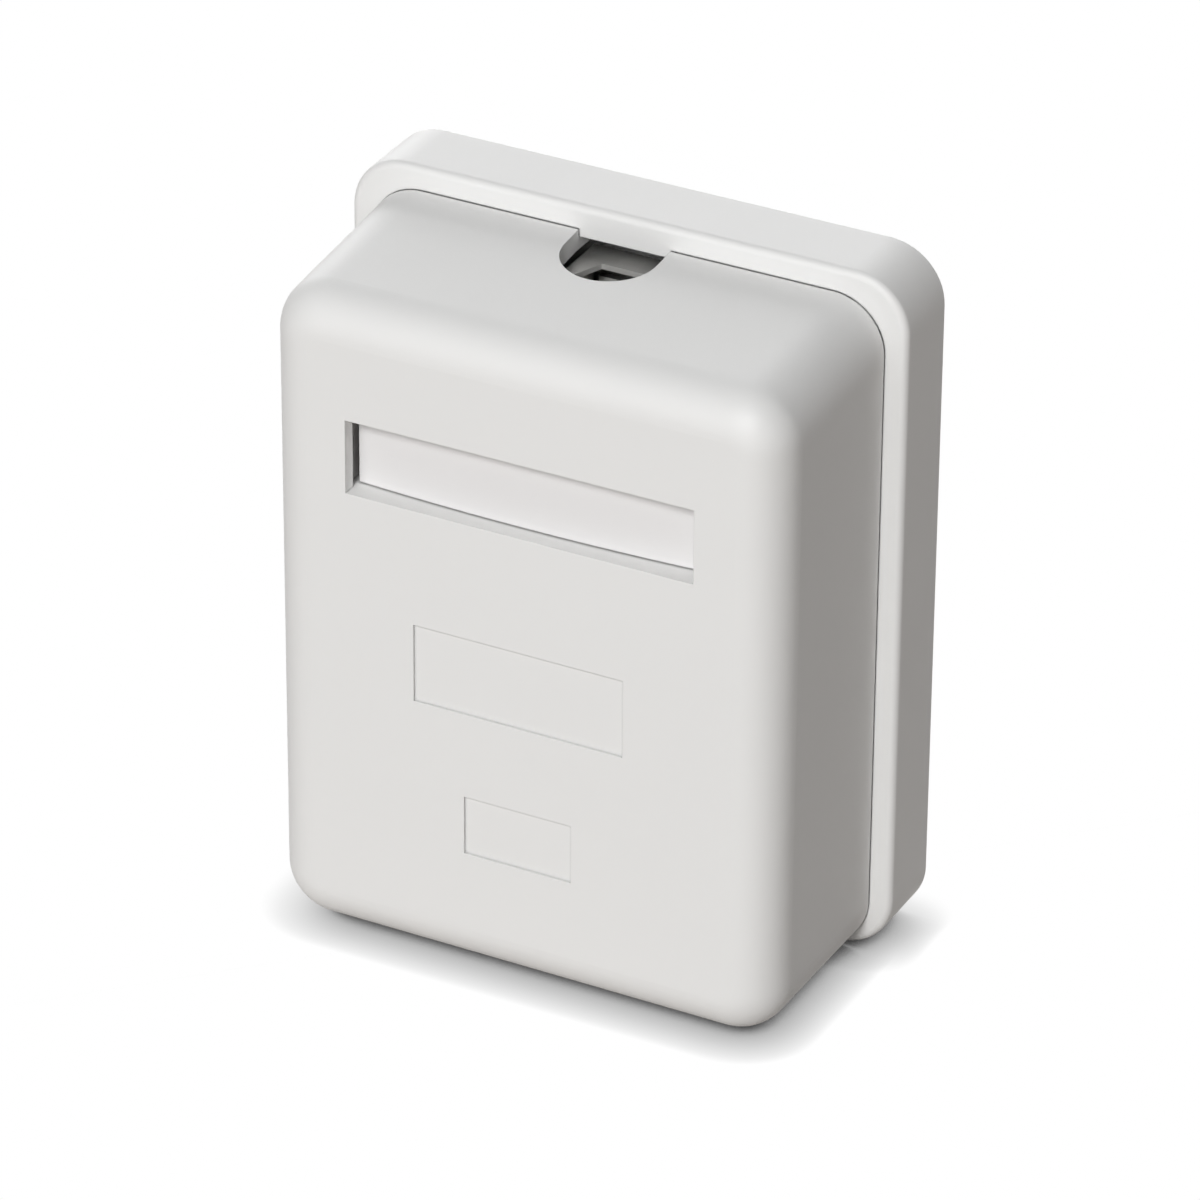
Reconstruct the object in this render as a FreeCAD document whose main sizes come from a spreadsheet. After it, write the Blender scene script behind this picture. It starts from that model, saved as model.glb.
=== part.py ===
"""Surface mount jack box: a wall box for two shielded eight-way sockets.

Millimetres. +Z is up, +Y points to the wall, +X to the right for someone facing the box.
The origin is the middle of the box's footprint, on the surface that it stands on.
Two moulded shells meet at the seam plane: a shallow base frame at the wall, and a deep
cover in front of it, which pulls off forwards. Between them lies a sheet metal shield
around a circuit board with two sockets that open downwards and two punch-down blocks.
The cable comes in from above, through a half-round notch in the cover and a six-sided
opening in the shield's neck.
"""
import FreeCAD, Part
import os
import Sketcher
from FreeCAD import Placement, Rotation, Vector

doc = FreeCAD.newDocument("surface_mount_jack_box")

# ---------------------------------------------------------------- driving dimensions
SIZES = [
    # the two shells
    ("base_width", 64.4), ("base_height", 80), ("base_depth", 8.8), ("base_corner", 6.3),
    ("rim_round", 0.8), ("rim_wall", 3.5), ("back_wall", 2.5),
    ("cover_side_step", 2.45), ("cover_top_step", 2.6), ("cover_depth", 23.4), ("cover_corner", 6),
    ("cover_wall", 2.3), ("draft_side", 0.2), ("draft_top", 2), ("front_round", 5),
    ("lip_depth", 3), ("lip_wall", 1.3), ("lip_start", 8), ("fit_gap", 0.15),
    ("seam_gap", 0.2), ("seam_rebate", 0.8), ("seam_step", 1), ("notch_half", 5.3), ("notch_depth", 8.4),
    # label window and the two shallow recesses below it
    ("window_width", 40.1), ("window_drop", 15.1), ("window_tall", 8.5), ("window_depth", 3.3),
    ("window_frame", 1.6), ("window_slot", 0.8), ("pad_wall", 1), ("plate_depth", 0.25),
    ("plate_wide", 24.4), ("plate_drop", 13.5), ("plate_tall", 9.1),
    ("spot_wide", 12.6), ("spot_drop", 10), ("spot_tall", 6.9),
    ("strip_wall", 0.6), ("strip_bow", 0.7), ("strip_gap", 0.15),
    # wall side: screw slots, knock-out, pegs
    ("slot_pitch", 34), ("slot_width", 4.2), ("slot_length", 8), ("slot_level", 40),
    ("knock_width", 24), ("knock_tall", 12), ("knock_drop", 8), ("knock_groove", 1.2),
    ("knock_line", 1), ("knock_corner", 2),
    ("peg_inset", 7.75), ("peg_drop", 8.9), ("peg_radius", 1.6), ("peg_length", 8),
    ("peg_post_radius", 2.6), ("boss_wall", 1.2), ("peg_gap", 0.05),
    # sheet metal shield
    ("sheet", 0.6), ("sheet_gap", 0.2), ("lid_side_gap", 2.45), ("lid_front_gap", 1.15),
    ("shield_low", 5), ("tray_back_gap", 2.5), ("tray_flange", 5), ("half_gap", 0.05),
    ("bend", 1), ("neck_half", 9.8), ("neck_tall", 7.5), ("neck_lip", 3.6),
    ("spout_half", 5.5), ("spout_drop", 3.5), ("spout_tall", 4.4), ("spout_lip", 2),
    ("hex_flat", 5.4), ("hex_wide", 8.3), ("hex_deep", 7), ("hex_back", 3.7),
    # circuit board
    ("board_wall", 1.6), ("board_gap", 2), ("board_corner", 1.5), ("board_margin", 0.9),
    ("board_foot_gap", 3), ("board_head_gap", 3),
    # sockets
    ("jack_width", 15.9), ("jack_between", 6.1), ("jack_depth", 13.2), ("jack_length", 21),
    ("jack_nose", 0.3), ("mouth_width", 11.9), ("mouth_high", 6.8), ("mouth_floor", 2.6),
    ("mouth_deep", 15), ("key_width", 6.2), ("key_high", 1.5), ("tab_width", 3.4),
    ("tab_high", 1), ("sleeve", 0.25), ("sleeve_set_back", 0.6), ("cutout_gap", 0.35),
    ("wire_pitch", 1.02), ("wire_radius", 0.22), ("wire_length", 9), ("wire_tilt", 8),
    # punch-down blocks
    ("block_rise", 7.7), ("block_length", 13), ("block_high", 9.5), ("block_pitch", 3.5),
    ("block_edge", 1.75), ("block_slot", 1.2), ("block_slot_depth", 6), ("block_web", 2),
    ("fork_side_gap", 0.05), ("fork_high", 4.5), ("fork_wall", 0.4), ("fork_gap", 0.35),
    ("fork_gap_deep", 3),
    # cable clamp and screws
    ("saddle_half", 4.2), ("saddle_drop", 2.7), ("saddle_tall", 8.2), ("saddle_thick", 0.9),
    ("cable_room", 5.8), ("strap_half", 8.6), ("strap_drop", 1.5), ("strap_tall", 5),
    ("strap_wall", 1.2), ("strap_screw_spread", 7), ("strap_screw_radius", 1),
    ("strap_screw_bite", 5), ("strap_post_wall", 0.7), ("strap_head_high", 1),
    ("screw_radius", 1.2), ("screw_head", 2.2), ("screw_head_high", 1.6), ("screw_gap", 0.05),
    ("screw_inset", 2.3), ("screw_above_jack", 3.7), ("screw_head_gap", 2.5),
    ("screw_bite", 3.5), ("screw_end_gap", 0.5), ("standoff_radius", 2.6),
]

# Places and widths that follow from the driving dimensions, one formula each.
PLACES = [
    ("wall_y", "(base_depth + cover_depth) / 2"),
    ("seam_y", "wall_y - base_depth"),
    ("front_y", "seam_y - cover_depth"),
    ("base_half", "base_width / 2"),
    ("cover_half", "base_half - cover_side_step"),
    ("cover_top", "base_height - cover_top_step"),
    ("window_high", "cover_top - window_drop"),
    ("window_low", "window_high - window_tall"),
    ("plate_high", "window_low - plate_drop"),
    ("plate_low", "plate_high - plate_tall"),
    ("spot_high", "plate_low - spot_drop"),
    ("spot_low", "spot_high - spot_tall"),
    ("knock_high", "base_height - knock_drop"),
    ("knock_low", "knock_high - knock_tall"),
    ("peg_spread", "cover_half - peg_inset"),
    ("peg_level", "cover_top - peg_drop"),
    ("plate_y", "wall_y - back_wall"),
    ("tray_y", "plate_y - tray_back_gap"),
    ("board_y", "tray_y - sheet - board_gap - board_wall"),
    ("jack_y", "board_y - jack_depth"),
    ("jack_top", "jack_nose + jack_length"),
    ("jack_pitch", "jack_width + jack_between"),
    ("lid_y", "jack_y - sleeve - lid_front_gap - sheet"),
    ("lid_half", "cover_half - draft_side - cover_wall - lid_side_gap"),
    ("tray_half", "lid_half - sheet - sheet_gap"),
    ("spout_top", "cover_top - spout_drop"),
    ("neck_top", "spout_top - spout_tall"),
    ("shield_high", "neck_top - neck_tall"),
    ("hex_middle", "tray_y - hex_back - hex_deep / 2"),
    ("neck_front", "hex_middle - hex_deep / 2 - neck_lip"),
    ("spout_front", "hex_middle - hex_deep / 2 - spout_lip"),
    ("board_half", "tray_half - sheet - board_margin"),
    ("board_low", "shield_low + board_foot_gap"),
    ("board_high", "shield_high - board_head_gap"),
    ("screw_spread", "board_half - screw_inset"),
    ("screw_low", "jack_top + screw_above_jack"),
    ("screw_high", "board_high - screw_head_gap"),
    ("block_width", "4 * block_pitch + 2 * block_edge"),
    ("block_low", "jack_top + block_rise"),
    ("fork_wide", "block_slot - 2 * fork_side_gap"),
    ("saddle_high", "spout_top - saddle_drop"),
    ("saddle_low", "saddle_high - saddle_tall"),
    ("saddle_front", "tray_y - sheet - saddle_thick"),
    ("strap_high", "neck_top - strap_drop"),
    ("strap_low", "strap_high - strap_tall"),
    ("strap_front", "saddle_front - cable_room - strap_wall"),
]

sheet = doc.addObject("Spreadsheet::Sheet", "sizes")
for row, (alias, entry) in enumerate(SIZES + PLACES, start=1):
    sheet.set("A%d" % row, alias)
    sheet.set("B%d" % row, "=" + entry if isinstance(entry, str) else str(entry))
    sheet.setAlias("B%d" % row, alias)
doc.recompute()

subparts = []


def words(formula):
    """The formula with every size's name pointed at the sheet."""
    names = {alias for alias, _ in SIZES + PLACES}
    text, token = "", ""
    for letter in str(formula) + " ":
        if letter.isalnum() or letter == "_":
            token += letter
            continue
        text += ("sizes." + token if token in names else token) + letter
        token = ""
    return text.strip()


def value(formula):
    """The formula's present value in millimetres."""
    return float(sheet.evalExpression(words(formula)))


def bind(item, **formulas):
    """Bind properties of an item; an underscore in a name stands for a dot."""
    for name, formula in formulas.items():
        item.setExpression(name.replace("_", "."), words(formula))


def place(item, x=0, y=0, z=0):
    """Put an item's own origin at a place given by three formulas."""
    bind(item, Placement_Base_x=x, Placement_Base_y=y, Placement_Base_z=z)


def keep(item, label):
    """Name a finished sub-part, which becomes one node."""
    item.Label = label
    subparts.append(item)
    return item


# ---------------------------------------------------------------- primitives and booleans
def box(name, x, y, z):
    """A box between two formulas along each axis."""
    item = doc.addObject("Part::Box", name)
    for length, (low, high) in zip(("Length", "Width", "Height"), (x, y, z)):
        bind(item, **{length: "(%s) - (%s)" % (high, low)})
    place(item, x[0], y[0], z[0])
    return item


def rod(name, radius, length, x, y, z, turn=None):
    """A cylinder whose foot is at a place; it runs along +Z, or along a turned axis."""
    item = doc.addObject("Part::Cylinder", name)
    bind(item, Radius=radius, Height=length)
    if turn:
        item.Placement = Placement(Vector(), Rotation(Vector(*turn[:3]), turn[3]))
    place(item, x, y, z)
    return item


def fuse(name, items):
    """One solid from several."""
    item = doc.addObject("Part::MultiFuse", name)
    item.Shapes = items
    item.Refine = True
    return item


def cut(name, base, tools):
    """A solid less one or more tools."""
    item = doc.addObject("Part::Cut", name)
    item.Base = base
    item.Tool = tools[0] if len(tools) == 1 else fuse(name + "_tools", tools)
    item.Refine = True
    return item


def group(name, items):
    """Separate solids kept as one node."""
    item = doc.addObject("Part::Compound", name)
    item.Links = items
    return item


FORWARD = (1, 0, 0, 90)     # turns a rod to run along -Y
BACKWARD = (1, 0, 0, -90)   # turns a rod to run along +Y


# ---------------------------------------------------------------- sketches and bodies
def new_body(name):
    """An empty body that becomes one node."""
    return keep(doc.addObject("PartDesign::Body", name), name)


def sketch_on(body, role, name, offset="0"):
    """A sketch on one of the body's origin planes, moved along that plane's normal."""
    sketch = body.newObject("Sketcher::SketchObject", name)
    plane = [item for item in body.Origin.OriginFeatures if item.Role == role][0]
    sketch.AttachmentSupport = (plane, [""])
    sketch.MapMode = "FlatFace"
    bind(sketch, AttachmentOffset_Base_z=offset)
    return sketch


def upright_sketch(name, y):
    """A sketch outside any body that stands upright at a depth."""
    sketch = doc.addObject("Sketcher::SketchObject", name)
    sketch.Placement = Placement(Vector(), Rotation(Vector(1, 0, 0), 90))
    bind(sketch, Placement_Base_y=y)
    return sketch


def dimension(sketch, kind, first, second, formula):
    """One driving distance of a sketch, bound to a formula."""
    index = sketch.addConstraint(Sketcher.Constraint(kind, *first, *second, value(formula)))
    sketch.setExpression("Constraints[%d]" % index, words(formula))


def outline(sketch, points, closed=True):
    """A polygon whose corners are formulas, each pinned to its place from the origin."""
    spots = [Vector(value(u), value(v), 0) for u, v in points]
    lines = [sketch.addGeometry(Part.LineSegment(spots[i], spots[(i + 1) % len(spots)]))
             for i in range(len(spots))]
    for i, (u, v) in enumerate(points):
        before = lines[i - 1]
        sketch.addConstraint(Sketcher.Constraint("Coincident", before, 2, lines[i], 1))
        dimension(sketch, "DistanceX", (-1, 1), (lines[i], 1), u)
        dimension(sketch, "DistanceY", (-1, 1), (lines[i], 1), v)
    return lines


def rectangle(sketch, left, right, low, high):
    """A rectangle between two formulas each way."""
    return outline(sketch, [(left, low), (right, low), (right, high), (left, high)])


def rounded(sketch, left, right, low, high, radius):
    """A rectangle with round corners, its sides tangent to four equal arcs."""
    x0, x1, z0, z1, r = (value(item) for item in (left, right, low, high, radius))
    half = 1.5707963267948966
    corners = [(x1 - r, z0 + r, -1), (x1 - r, z1 - r, 0), (x0 + r, z1 - r, 1), (x0 + r, z0 + r, 2)]
    ends = [((x0 + r, z0), (x1 - r, z0)), ((x1, z0 + r), (x1, z1 - r)),
            ((x1 - r, z1), (x0 + r, z1)), ((x0, z1 - r), (x0, z0 + r))]
    sides, arcs = [], []
    for (start, stop), (u, v, quarter) in zip(ends, corners):
        sides.append(sketch.addGeometry(Part.LineSegment(Vector(*start, 0), Vector(*stop, 0))))
        circle = Part.Circle(Vector(u, v, 0), Vector(0, 0, 1), r)
        arcs.append(sketch.addGeometry(Part.ArcOfCircle(circle, quarter * half, (quarter + 1) * half)))
    for i in range(4):
        sketch.addConstraint(Sketcher.Constraint("Tangent", sides[i], 2, arcs[i], 1))
        sketch.addConstraint(Sketcher.Constraint("Tangent", arcs[i], 2, sides[(i + 1) % 4], 1))
        sketch.addConstraint(Sketcher.Constraint("Horizontal" if i % 2 == 0 else "Vertical", sides[i]))
    for arc in arcs[1:]:
        sketch.addConstraint(Sketcher.Constraint("Equal", arcs[0], arc))
    index = sketch.addConstraint(Sketcher.Constraint("Radius", arcs[0], r))
    sketch.setExpression("Constraints[%d]" % index, words(radius))
    dimension(sketch, "DistanceY", (-1, 1), (sides[0], 1), low)
    dimension(sketch, "DistanceX", (-1, 1), (sides[1], 1), right)
    dimension(sketch, "DistanceY", (-1, 1), (sides[2], 1), high)
    dimension(sketch, "DistanceX", (-1, 1), (sides[3], 1), left)


def ring(sketch, u, v, radius):
    """A circle at two formulas."""
    circle = Part.Circle(Vector(value(u), value(v), 0), Vector(0, 0, 1), value(radius))
    index = sketch.addGeometry(circle)
    dimension(sketch, "DistanceX", (-1, 1), (index, 3), u)
    dimension(sketch, "DistanceY", (-1, 1), (index, 3), v)
    number = sketch.addConstraint(Sketcher.Constraint("Radius", index, value(radius)))
    sketch.setExpression("Constraints[%d]" % number, words(radius))


def pad(body, sketch, length, backwards=False):
    """Material along the sketch's normal."""
    item = body.newObject("PartDesign::Pad", sketch.Name + "_pad")
    item.Profile = sketch
    item.Reversed = backwards
    bind(item, Length=length)
    return item


def pocket(body, sketch, length, forwards=False):
    """A cut against the sketch's normal, or along it."""
    item = body.newObject("PartDesign::Pocket", sketch.Name + "_pocket")
    item.Profile = sketch
    item.Reversed = forwards
    bind(item, Length=length)
    return item


def edges_where(shape, test):
    """Names of the edges whose middle and ends all pass a test."""
    names = []
    for number, edge in enumerate(shape.Edges, start=1):
        middle = edge.valueAt((edge.FirstParameter + edge.LastParameter) / 2)
        if all(test(spot) for spot in [vertex.Point for vertex in edge.Vertexes] + [middle]):
            names.append("Edge%d" % number)
    return names


def soften(body, kind, size, test, name):
    """A fillet or chamfer on the tip's edges that pass a test."""
    doc.recompute()
    base = body.Tip
    item = body.newObject("PartDesign::" + kind, name)
    item.Base = (base, edges_where(base.Shape, test))
    bind(item, **{"Radius" if kind == "Fillet" else "Size": size})
    return item


def near(one, other):
    """Whether two lengths are the same to within a hundredth of a millimetre."""
    return abs(one - other) < 0.01


SIDES = {"left": "-", "right": ""}      # the sign of X on each side


# ---------------------------------------------------------------- base frame
def slot(sketch, u, v, length, width):
    """A slot with round ends that lies along the sketch's first axis."""
    x, z, run, r = value(u), value(v), value("(%s - (%s)) / 2" % (length, width)), value(width) / 2
    half = 1.5707963267948966
    low = sketch.addGeometry(Part.LineSegment(Vector(x - run, z - r, 0), Vector(x + run, z - r, 0)))
    right = sketch.addGeometry(Part.ArcOfCircle(
        Part.Circle(Vector(x + run, z, 0), Vector(0, 0, 1), r), -half, half))
    high = sketch.addGeometry(Part.LineSegment(Vector(x + run, z + r, 0), Vector(x - run, z + r, 0)))
    left = sketch.addGeometry(Part.ArcOfCircle(
        Part.Circle(Vector(x - run, z, 0), Vector(0, 0, 1), r), half, 3 * half))
    chain = [low, right, high, left]
    for i in range(4):
        sketch.addConstraint(Sketcher.Constraint("Tangent", chain[i], 2, chain[(i + 1) % 4], 1))
    sketch.addConstraint(Sketcher.Constraint("Horizontal", low))
    for arc, sign in ((left, "-"), (right, "+")):
        dimension(sketch, "DistanceX", (-1, 1), (arc, 3),
                  "%s %s (%s - %s) / 2" % (u, sign, length, width))
    dimension(sketch, "DistanceY", (-1, 1), (left, 3), v)
    index = sketch.addConstraint(Sketcher.Constraint("Radius", left, r))
    sketch.setExpression("Constraints[%d]" % index, words("(%s) / 2" % width))


def base_frame():
    """The shell at the wall: back plate, rim, posts with pegs, standoffs and screw slots.

    The rim's face steps back behind the cover's edge, so the seam shows as a dark line. It
    stays level at the notch, and at the foot, where the cover rests against it.
    """
    body = new_body("base_frame")
    plan = sketch_on(body, "XZ_Plane", "base_plan", "-wall_y")
    rounded(plan, "-base_half", "base_half", "0", "base_height", "base_corner")
    pad(body, plan, "base_depth")
    front = value("seam_y")
    soften(body, "Fillet", "rim_round", lambda spot: near(spot.y, front), "rim_edge")
    hollow = sketch_on(body, "XZ_Plane", "base_hollow", "-seam_y")
    rounded(hollow, "-base_half + rim_wall", "base_half - rim_wall", "rim_wall",
            "base_height - rim_wall", "base_corner - rim_wall")
    pocket(body, hollow, "base_depth - back_wall")
    step = sketch_on(body, "XZ_Plane", "seam_step_plan", "-seam_y")
    rounded(step, "-cover_half", "cover_half", "0", "cover_top", "cover_corner")
    pocket(body, step, "seam_step")
    lands = sketch_on(body, "XZ_Plane", "seam_lands", "-seam_y - seam_step")
    rectangle(lands, "-notch_half", "notch_half", "base_height - rim_wall", "cover_top")
    rectangle(lands, "-cover_half + cover_corner", "cover_half - cover_corner", "0", "rim_wall")
    pad(body, lands, "seam_step")
    pegs = [("-peg_spread", "peg_level"), ("peg_spread", "peg_level")]
    standoffs = [(sign + "screw_spread", level)
                 for sign in SIDES.values() for level in ("screw_low", "screw_high")]
    stacks = (("base_posts", pegs, "peg_post_radius", "plate_y - seam_y"),
              ("base_pegs", pegs, "peg_radius", "plate_y - seam_y + peg_length"),
              ("base_standoffs", standoffs, "standoff_radius", "tray_back_gap"))
    for name, spots, radius, length in stacks:
        plan = sketch_on(body, "XZ_Plane", name, "-plate_y")
        for u, v in spots:
            ring(plan, u, v, radius)
        pad(body, plan, length)
    bores = sketch_on(body, "XZ_Plane", "base_bores", "-tray_y")
    for u, v in standoffs:
        ring(bores, u, v, "screw_radius + screw_gap")
    pocket(body, bores, "screw_bite")
    slots = sketch_on(body, "XZ_Plane", "wall_slots", "-plate_y")
    for u in ("-slot_pitch / 2", "slot_pitch / 2"):
        slot(slots, u, "slot_level", "slot_length", "slot_width")
    pocket(body, slots, "back_wall + 1")
    groove = sketch_on(body, "XZ_Plane", "knock_out", "-wall_y")
    for inset in ("0", "knock_line"):
        rounded(groove, "-knock_width / 2 + %s" % inset, "knock_width / 2 - %s" % inset,
                "knock_low + %s" % inset, "knock_high - %s" % inset, "knock_corner - %s" % inset)
    pocket(body, groove, "knock_groove", forwards=True)


# ---------------------------------------------------------------- front cover
def cover_form(name, wall, y):
    """The cover's tapered form, inset by a wall, from the seam forwards to a depth."""
    share = "(seam_y - (%s)) / cover_depth" % y
    sections = []
    for part, at, taper in (("rear", "seam_y", "0"), ("front", y, share)):
        sketch = upright_sketch("%s_%s" % (name, part), at)
        side = "cover_half - %s - draft_side * %s" % (wall, taper)
        rounded(sketch, "-(%s)" % side, side, wall,
                "cover_top - %s - draft_top * %s" % (wall, taper), "cover_corner - %s" % wall)
        sections.append(sketch)
    form = doc.addObject("Part::Loft", name)
    form.Sections = sections
    form.Solid = True
    form.Ruled = True
    doc.recompute()
    return form


def round_front(form, name, y, radius):
    """The form with a round along the whole edge of its front face."""
    front = value(y)
    edges = []
    for number, edge in enumerate(form.Shape.Edges, start=1):
        ends = (edge.FirstParameter, edge.LastParameter)
        if all(near(edge.valueAt(end).y, front) for end in ends):
            edges.append((number, value(radius), value(radius)))
    item = doc.addObject("Part::Fillet", name)
    item.Base = form
    item.Edges = edges
    return item


def cover_lip():
    """A thin wall along the cover's top and sides that reaches back inside the rim."""
    rings = []
    for name, inset in (("lip_outside", "fit_gap"), ("lip_inside", "fit_gap + lip_wall")):
        sketch = upright_sketch(name, "seam_y - lip_wall")
        rounded(sketch, "-base_half + rim_wall + %s" % inset, "base_half - rim_wall - (%s)" % inset,
                "rim_wall", "base_height - rim_wall - (%s)" % inset,
                "base_corner - rim_wall - (%s)" % inset)
        run = doc.addObject("Part::Extrusion", name + "_run")
        run.Base = sketch
        run.Dir = Vector(0, 1, 0)
        run.DirMode = "Custom"
        run.Solid = True
        bind(run, LengthFwd="lip_wall + lip_depth")
        rings.append(run)
    foot = box("lip_foot", ("-base_half", "base_half"), ("front_y", "wall_y"), ("0", "lip_start"))
    return cut("lip", rings[0], [rings[1], foot])


def seam_groove():
    """A shallow rebate around the cover's rear edge, which leaves a shadow line at the rim."""
    sketch = upright_sketch("seam_inside", "seam_y - seam_gap - 1")
    side = "cover_half - seam_rebate"
    rounded(sketch, "-(%s)" % side, side, "seam_rebate", "cover_top - seam_rebate",
            "cover_corner - seam_rebate")
    inside = doc.addObject("Part::Extrusion", "seam_inside_run")
    inside.Base = sketch
    inside.Dir = Vector(0, 1, 0)
    inside.DirMode = "Custom"
    inside.Solid = True
    bind(inside, LengthFwd="seam_gap + 2")
    around = box("seam_around", ("-base_half", "base_half"), ("seam_y - seam_gap", "seam_y"),
                 ("-1", "base_height"))
    return cut("seam_groove", around, [inside])


def cover():
    """The front shell: tapered, round at the front, open at the wall side."""
    outside = round_front(cover_form("cover_outside", "0", "front_y"), "cover_round", "front_y",
                          "front_round")
    inner_y = "front_y + cover_wall"
    inside = round_front(cover_form("cover_inside", "cover_wall", inner_y), "cover_inner_round",
                         inner_y, "front_round - cover_wall")
    shell = cut("cover_shell", outside, [inside])
    window_half = "window_width / 2"
    reach = window_half + " + window_slot + pad_wall"
    backing = box("window_backing", ("-%s" % reach.replace("+", "-"), reach),
                  ("front_y + cover_wall / 2", "front_y + window_depth + pad_wall"),
                  ("window_low - pad_wall", "window_high + pad_wall"))
    added = [shell, cover_lip(), backing]
    cuts = [box("window", ("-%s" % window_half, window_half), ("front_y - 1", "front_y + window_depth"),
                ("window_low", "window_high")), seam_groove()]
    for side, sign in SIDES.items():
        boss_radius = "peg_radius + peg_gap + boss_wall"
        added.append(rod("boss_" + side, boss_radius, "cover_depth - cover_wall / 2",
                         sign + "peg_spread", "seam_y", "peg_level", FORWARD))
        cuts.append(rod("boss_bore_" + side, "peg_radius + peg_gap", "peg_length + 1",
                        sign + "peg_spread", "seam_y", "peg_level", FORWARD))
        low, high = ("-%s - window_slot" % window_half, "-%s" % window_half)
        if side == "right":
            low, high = (window_half, "%s + window_slot" % window_half)
        cuts.append(box("window_slot_" + side, (low, high),
                        ("front_y + window_frame", "front_y + window_depth + pad_wall + 1"),
                        ("window_low", "window_high")))
        reach = "(jack_width / 2 + sleeve + cutout_gap)"
        middle = sign + "jack_pitch / 2"
        cuts.append(box("jack_cutout_" + side, ("%s - %s" % (middle, reach), "%s + %s" % (middle, reach)),
                        ("jack_y - sleeve - cutout_gap", "seam_y + 1"), ("-1", "cover_wall + 1")))
    for name, wide, low, high in (("plate", "plate_wide", "plate_low", "plate_high"),
                                  ("spot", "spot_wide", "spot_low", "spot_high")):
        cuts.append(box("recess_" + name, ("-%s / 2" % wide, "%s / 2" % wide),
                        ("front_y - 1", "front_y + plate_depth"), (low, high)))
    centre = "seam_y - notch_depth + notch_half"
    top = ("cover_top - draft_top - cover_wall * 2", "base_height + 1")
    cuts.append(rod("notch_round", "notch_half", "(%s) - (%s)" % (top[1], top[0]), "0", centre, top[0]))
    cuts.append(box("notch_straight", ("-notch_half", "notch_half"),
                    (centre, "seam_y + lip_depth + 1"), top))
    keep(cut("cover_solid", fuse("cover_added", added), cuts), "cover")


def label_strip():
    """The bowed strip in the label window: its ends lie on the window's floor."""
    body = new_body("label_strip")
    plan = sketch_on(body, "XY_Plane", "strip_plan", "window_low + strip_gap")
    half = "window_width / 2 - strip_gap"
    floor = "front_y + window_depth"
    arcs = []
    for back in (floor + " - strip_wall", floor):
        u, v, bow = value(half), value(back), value("strip_bow")
        arcs.append(plan.addGeometry(Part.Arc(Vector(-u, v, 0), Vector(0, v - bow, 0), Vector(u, v, 0))))
        dimension(plan, "DistanceX", (-1, 1), (arcs[-1], 1), "-(%s)" % half)
        dimension(plan, "DistanceX", (-1, 1), (arcs[-1], 2), half)
        for end in (1, 2):
            dimension(plan, "DistanceY", (-1, 1), (arcs[-1], end), back)
        radius = "((%s) ^ 2 + strip_bow ^ 2) / (2 * strip_bow)" % half
        index = plan.addConstraint(Sketcher.Constraint("Radius", arcs[-1], value(radius)))
        plan.setExpression("Constraints[%d]" % index, words(radius))
    for end in (1, 2):
        u = -value(half) if end == 1 else value(half)
        line = plan.addGeometry(Part.LineSegment(Vector(u, value(floor + " - strip_wall"), 0),
                                                 Vector(u, value(floor), 0)))
        plan.addConstraint(Sketcher.Constraint("Coincident", line, 1, arcs[0], end))
        plan.addConstraint(Sketcher.Constraint("Coincident", line, 2, arcs[1], end))
    pad(body, plan, "window_high - window_low - 2 * strip_gap")


# ---------------------------------------------------------------- shield
def jack_gate(name, low, high):
    """Room for both sockets through a sheet metal wall."""
    reach = "(jack_width / 2 + sleeve + cutout_gap)"
    return [box("%s_gate_%s" % (name, side),
                ("%sjack_pitch / 2 - %s" % (sign, reach), "%sjack_pitch / 2 + %s" % (sign, reach)),
                ("jack_y - sleeve - cutout_gap", "board_y + sleeve + cutout_gap"), (low, high))
            for side, sign in SIDES.items()]


def hexagon_cut(name):
    """The six-sided cable opening, long way across, through the spout's top wall."""
    sketch = doc.addObject("Sketcher::SketchObject", name + "_plan")
    bind(sketch, Placement_Base_z="spout_top - 2 * sheet")
    outline(sketch, [("-hex_flat / 2", "hex_middle - hex_deep / 2"),
                     ("hex_flat / 2", "hex_middle - hex_deep / 2"), ("hex_wide / 2", "hex_middle"),
                     ("hex_flat / 2", "hex_middle + hex_deep / 2"),
                     ("-hex_flat / 2", "hex_middle + hex_deep / 2"), ("-hex_wide / 2", "hex_middle")])
    run = doc.addObject("Part::Extrusion", name)
    run.Base = sketch
    run.DirMode = "Custom"
    run.Dir = Vector(0, 0, 1)
    run.Solid = True
    bind(run, LengthFwd="3 * sheet")
    return run


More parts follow.
